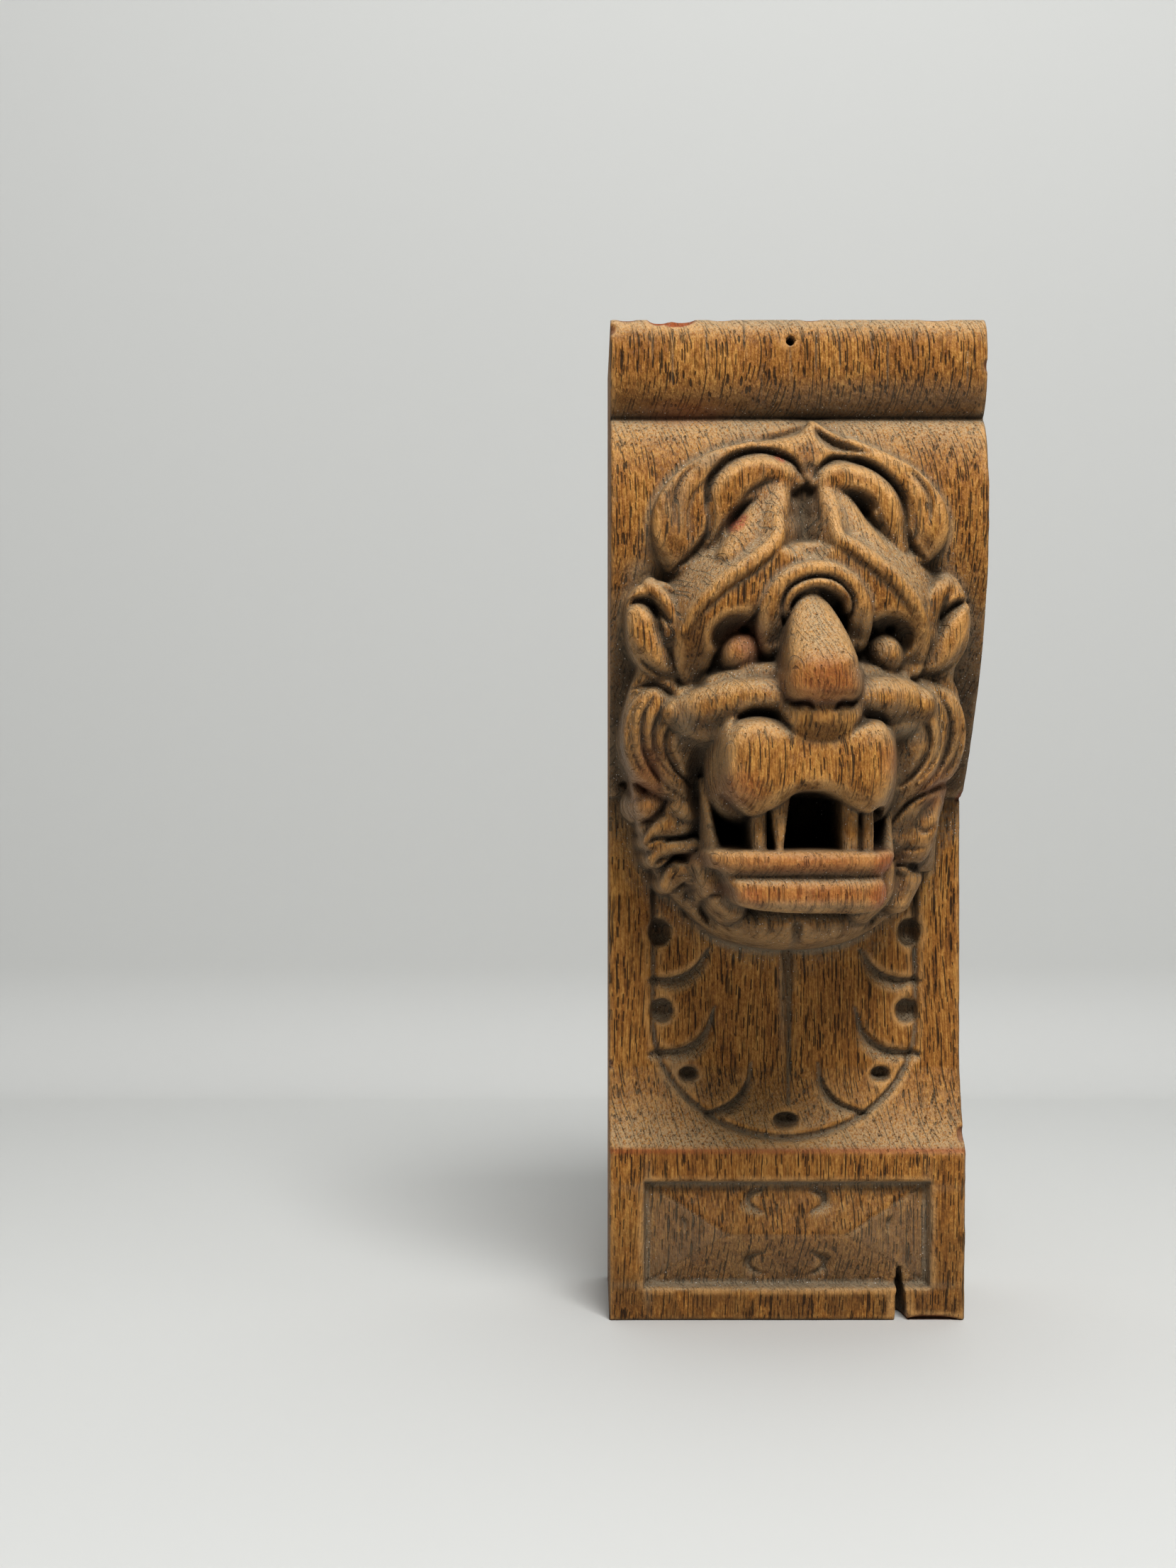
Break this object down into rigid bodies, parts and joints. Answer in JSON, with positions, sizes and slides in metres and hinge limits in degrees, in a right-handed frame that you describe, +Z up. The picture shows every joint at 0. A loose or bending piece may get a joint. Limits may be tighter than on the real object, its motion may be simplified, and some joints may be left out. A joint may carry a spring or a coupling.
{
  "type": "corbel bracket",
  "caption": "Carved oak corbel with a snarling lion mask under a rounded top moulding, over a leaf and a panelled block.",
  "frame": {"origin": "middle of the flat wall face", "axes": "+Y out of the wall face into the wall, the mask looks along -Y, +Z up"},
  "size_m": [0.1, 0.1272, 0.275],
  "materials": {
    "oak": "old waxed oak, worn on the high spots and dusty in the hollows"
  },
  "bodies": {
    "root": {"corbel": "oak"}
  },
  "joints": []
}
